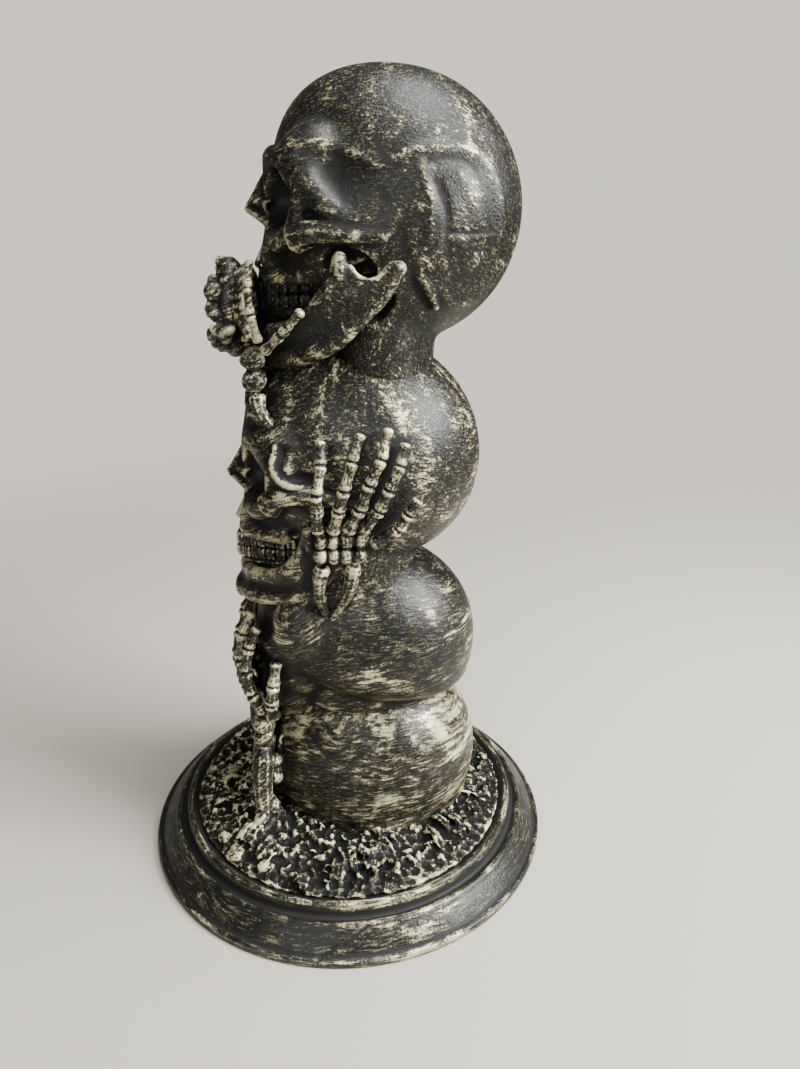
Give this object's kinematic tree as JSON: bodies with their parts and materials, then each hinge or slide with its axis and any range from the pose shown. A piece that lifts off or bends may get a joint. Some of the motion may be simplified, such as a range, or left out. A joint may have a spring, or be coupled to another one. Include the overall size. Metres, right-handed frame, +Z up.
{
  "type": "skull tower figurine",
  "caption": "Tower of stacked skulls whose skeleton hands cover mouth, ears and eyes, rising from a bed of bones on a round moulded plinth.",
  "frame": {"origin": "centre of the plinth underside, on the floor", "axes": "+Z up the tower, -Y the way the skulls face, +X to the side of their left hands"},
  "size_m": [0.227, 0.227, 0.3995],
  "materials": {
    "plinth": "cast resin, near-black satin paint with pale gold dry brushing",
    "bone": "cast resin, near-black satin paint with pale gold dry brushing",
    "hands": "cast resin, heavier pale gold dry brushing on the raised bones",
    "teeth": "cast resin, pale gold dry brushing on the raised teeth",
    "bone_bed": "cast resin, black with dry-brushed tips",
    "pad": "black felt"
  },
  "bodies": {
    "root": {"bone_bed": "bone_bed", "felt_pad": "pad", "hear_cranium": "bone", "hear_jaw": "bone", "hear_left_forearm": "hands", "hear_left_index": "hands", "hear_left_little": "hands", "hear_left_middle": "hands", "hear_left_ring": "hands", "hear_left_thumb": "hands", "hear_left_wrist": "hands", "hear_right_forearm": "hands", "hear_right_index": "hands", "hear_right_little": "hands", "hear_right_middle": "hands", "hear_right_ring": "hands", "hear_right_thumb": "hands", "hear_right_wrist": "hands", "hear_teeth": "teeth", "plinth": "plinth", "see_cranium": "bone", "see_jaw": "bone", "see_left_forearm": "hands", "see_left_index": "hands", "see_left_little": "hands", "see_left_middle": "hands", "see_left_ring": "hands", "see_left_thumb": "hands", "see_left_wrist": "hands", "see_right_forearm": "hands", "see_right_index": "hands", "see_right_little": "hands", "see_right_middle": "hands", "see_right_ring": "hands", "see_right_thumb": "hands", "see_right_wrist": "hands", "see_teeth": "teeth", "speak_cranium": "bone", "speak_jaw": "bone", "speak_left_forearm": "hands", "speak_left_index": "hands", "speak_left_little": "hands", "speak_left_middle": "hands", "speak_left_ring": "hands", "speak_left_thumb": "hands", "speak_left_wrist": "hands", "speak_right_forearm": "hands", "speak_right_index": "hands", "speak_right_little": "hands", "speak_right_middle": "hands", "speak_right_ring": "hands", "speak_right_thumb": "hands", "speak_right_wrist": "hands", "speak_teeth": "teeth", "sunk_cranium": "bone"}
  },
  "joints": []
}
